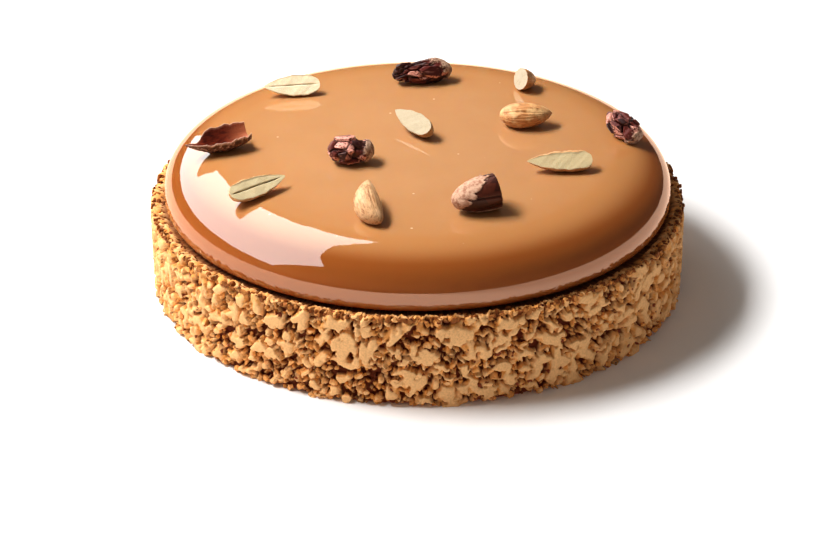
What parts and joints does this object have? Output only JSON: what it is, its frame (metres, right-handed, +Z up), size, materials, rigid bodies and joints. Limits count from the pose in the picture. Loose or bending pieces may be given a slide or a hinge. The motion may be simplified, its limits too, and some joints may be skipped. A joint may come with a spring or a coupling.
{
  "type": "entremet",
  "caption": "Round entremet: a smooth glossy caramel dome with rounded shoulders on a base of pressed nut crumbs, with almonds and roasted cocoa beans laid on top.",
  "frame": {"origin": "centre of the flat underside of the crumb base, on the surface that the cake stands on", "axes": "+Z up through the middle of the dome; -Y towards the side that the picture shows in front; +X to its right"},
  "size_m": [0.18, 0.18, 0.0603],
  "materials": {
    "nut_crumb": "rough pressed crumb",
    "caramel_glaze": "mirror glaze",
    "almond_flesh": "satin",
    "almond_skin": "matt",
    "roasted_cocoa": "satin",
    "cocoa_husk": "matt"
  },
  "bodies": {
    "root": {"crumb_base": "nut_crumb", "glazed_dome": "caramel_glaze", "cocoa_husk_left": "cocoa_husk", "cocoa_bean_back": "roasted_cocoa", "cocoa_bean_right": "roasted_cocoa", "cocoa_bean_middle": "roasted_cocoa", "cocoa_bean_front": "roasted_cocoa", "almond_piece_back_right": "almond_skin", "almond_whole_right": "almond_skin", "almond_whole_front": "almond_skin", "almond_half_back_left": "almond_flesh", "almond_half_middle": "almond_flesh", "almond_half_left": "almond_flesh", "almond_half_right": "almond_flesh"}
  },
  "joints": []
}
